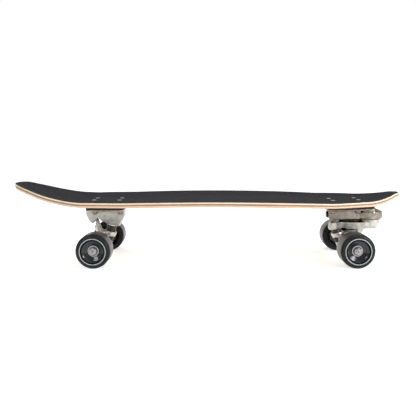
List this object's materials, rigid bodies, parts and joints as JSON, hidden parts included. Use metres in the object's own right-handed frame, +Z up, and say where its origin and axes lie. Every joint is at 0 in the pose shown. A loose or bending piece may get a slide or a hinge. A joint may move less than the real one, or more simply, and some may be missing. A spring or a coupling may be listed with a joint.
{
  "type": "surf skateboard",
  "caption": "Wide surf skateboard with a kicked tail, gritted concave maple deck, soft urethane wheels, a plain rear truck and a spring-returned swinging front truck.",
  "frame": {"origin": "on the floor under the middle of the board, wheels standing on it", "axes": "+X towards the nose, +Z up, -Y is the board's right-hand side, which the picture shows"},
  "size_m": [0.8256, 0.2508, 0.1637],
  "materials": {
    "maple": "clear-coated veneer edge and stained underside",
    "grit": "coarse mineral grit",
    "riser_rubber": "matt moulded",
    "cast_alloy": "tumbled casting, satin",
    "steel": "bright zinc",
    "black_steel": "black oxide",
    "urethane": "glossy cast urethane with a ground shoulder",
    "bushing": "satin urethane",
    "core_plastic": "moulded nylon",
    "cup_plastic": "moulded",
    "bearing_steel": "ground rings and pressed shields",
    "bronze": "turned"
  },
  "bodies": {
    "board": {"deck": "maple", "grip_tape": "grit", "rear_riser_pad": "riser_rubber", "rear_baseplate": "cast_alloy", "rear_pivot_cup": "cup_plastic", "rear_kingpin": "steel", "rear_kingpin_nut": "steel", "rear_upper_bushing": "bushing", "rear_lower_bushing": "bushing", "rear_upper_washer": "steel", "rear_lower_washer": "steel", "rear_deck_screw_1": "black_steel", "rear_deck_screw_2": "black_steel", "rear_deck_screw_3": "black_steel", "rear_deck_screw_4": "black_steel", "front_riser_pad": "riser_rubber", "front_baseplate": "cast_alloy", "front_deck_screw_1": "black_steel", "front_deck_screw_2": "black_steel", "front_deck_screw_3": "black_steel", "front_deck_screw_4": "black_steel", "swing_pivot_bolt": "steel", "swing_upper_bearing": "bronze", "swing_pivot_nut": "steel", "spring_adjuster": "black_steel", "return_spring": "steel"},
    "plunger": {"spring_plunger": "steel"},
    "swing_arm": {"swing_arm": "cast_alloy", "swing_lower_bearing": "bearing_steel", "front_pivot_cup": "cup_plastic", "front_kingpin": "steel", "front_kingpin_nut": "steel", "front_upper_bushing": "bushing", "front_lower_bushing": "bushing", "front_upper_washer": "steel", "front_lower_washer": "steel"},
    "rear_hanger": {"rear_hanger": "cast_alloy", "rear_axle": "steel", "rear_right_axle_nut": "steel", "rear_left_axle_nut": "steel"},
    "front_hanger": {"front_hanger": "cast_alloy", "front_axle": "steel", "front_right_axle_nut": "steel", "front_left_axle_nut": "steel"},
    "rear_right_wheel": {"rear_right_wheel": "urethane", "rear_right_core": "core_plastic", "rear_right_outer_bearing": "bearing_steel", "rear_right_inner_bearing": "bearing_steel"},
    "rear_left_wheel": {"rear_left_wheel": "urethane", "rear_left_core": "core_plastic", "rear_left_outer_bearing": "bearing_steel", "rear_left_inner_bearing": "bearing_steel"},
    "front_right_wheel": {"front_right_wheel": "urethane", "front_right_core": "core_plastic", "front_right_outer_bearing": "bearing_steel", "front_right_inner_bearing": "bearing_steel"},
    "front_left_wheel": {"front_left_wheel": "urethane", "front_left_core": "core_plastic", "front_left_outer_bearing": "bearing_steel", "front_left_inner_bearing": "bearing_steel"}
  },
  "joints": [
    {"name": "rear_tilt", "type": "hinge", "parent": "board", "child": "rear_hanger", "pos_m": [-0.24319, 0, 0.08541], "axis": [-0.7042, 0, 0.71], "range_deg": [-14, 14], "stiffness_Nm_per_rad": 60, "deforming": ["rear_upper_bushing", "rear_lower_bushing"]},
    {"name": "arm_swing", "type": "hinge", "parent": "board", "child": "swing_arm", "pos_m": [0.35092, 0, 0.08648], "axis": [-0.0279, 0, 0.9996], "range_deg": [-30, 30], "stiffness_Nm_per_rad": 14},
    {"name": "front_tilt", "type": "hinge", "parent": "swing_arm", "child": "front_hanger", "pos_m": [0.32698, 0, 0.0625], "axis": [0.9665, 0, 0.2567], "range_deg": [-14, 14], "stiffness_Nm_per_rad": 60, "deforming": ["front_upper_bushing", "front_lower_bushing"]},
    {"name": "plunger_slide", "type": "slide", "parent": "board", "child": "plunger", "axis": [0.9996, 0, 0.0279], "range_m": [-0.004, 0], "stiffness_N_per_m": 6000, "deforming": ["return_spring"]},
    {"name": "rear_right_spin", "type": "hinge", "parent": "rear_hanger", "child": "rear_right_wheel", "pos_m": [-0.22809, 0, 0.03481], "axis": [0, 1, 0], "continuous": true},
    {"name": "rear_left_spin", "type": "hinge", "parent": "rear_hanger", "child": "rear_left_wheel", "pos_m": [-0.22809, 0, 0.03481], "axis": [0, 1, 0], "continuous": true},
    {"name": "front_right_spin", "type": "hinge", "parent": "front_hanger", "child": "front_right_wheel", "pos_m": [0.29975, 0, 0.03487], "axis": [0, 1, 0], "continuous": true},
    {"name": "front_left_spin", "type": "hinge", "parent": "front_hanger", "child": "front_left_wheel", "pos_m": [0.29975, 0, 0.03487], "axis": [0, 1, 0], "continuous": true}
  ]
}
